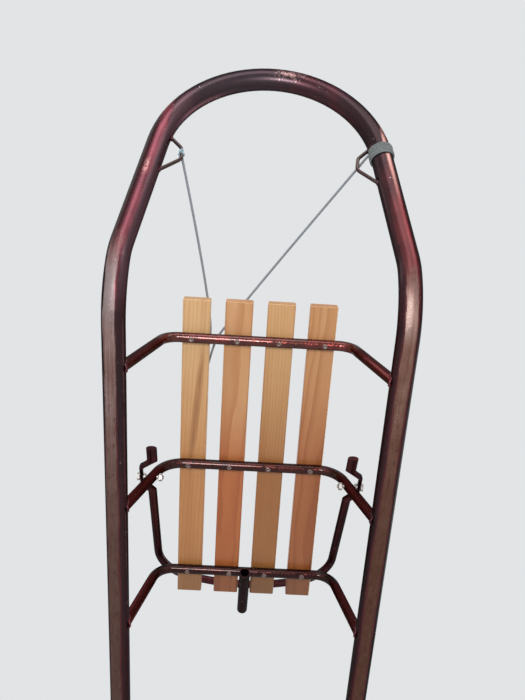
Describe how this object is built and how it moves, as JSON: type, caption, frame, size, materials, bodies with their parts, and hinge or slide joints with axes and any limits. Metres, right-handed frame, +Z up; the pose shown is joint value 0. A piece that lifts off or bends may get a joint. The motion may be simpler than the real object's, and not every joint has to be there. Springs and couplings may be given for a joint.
{
  "type": "sled",
  "caption": "Towed seat sled with round tube runners closed by an upturned nose bow, tube arches under lengthwise wooden slats, a folding tube backrest and a tow cord.",
  "frame": {"origin": "on the floor under the middle of the sled's length and width, measured without the cord", "axes": "+Z up, -Y towards the upturned nose, +X towards the sled's own left side"},
  "size_m": [0.394, 0.9437, 0.286],
  "materials": {
    "maroon_paint": "dark cherry red metallic paint on steel tube, worn to a pale matt strip under the runners",
    "pine": "varnished pine, clear gloss, yellow to orange",
    "zinc": "zinc plated",
    "plug": "black moulded plastic",
    "cord": "grey-blue braided cord"
  },
  "bodies": {
    "frame": {"runner_loop": "maroon_paint", "runner_plug_left": "plug", "runner_plug_right": "plug", "arch_front": "maroon_paint", "arch_middle": "maroon_paint", "arch_rear": "maroon_paint", "slat_1": "pine", "slat_2": "pine", "slat_3": "pine", "slat_4": "pine", "hinge_bolt_left": "zinc", "hinge_bolt_right": "zinc", "hinge_nut_left": "zinc", "hinge_nut_right": "zinc", "hinge_washer_left": "zinc", "hinge_washer_right": "zinc", "tow_loop_left": "maroon_paint", "tow_loop_right": "maroon_paint", "handle_socket": "maroon_paint", "cord_wrap": "cord", "cord_knot": "cord", "tow_cord": "cord"},
    "backrest": {"backrest_frame": "maroon_paint"}
  },
  "joints": [
    {"name": "backrest_fold", "type": "hinge", "parent": "frame", "child": "backrest", "pos_m": [0, 0.1049, 0.0925], "axis": [1, 0, 0], "range_deg": [0, 38]}
  ]
}
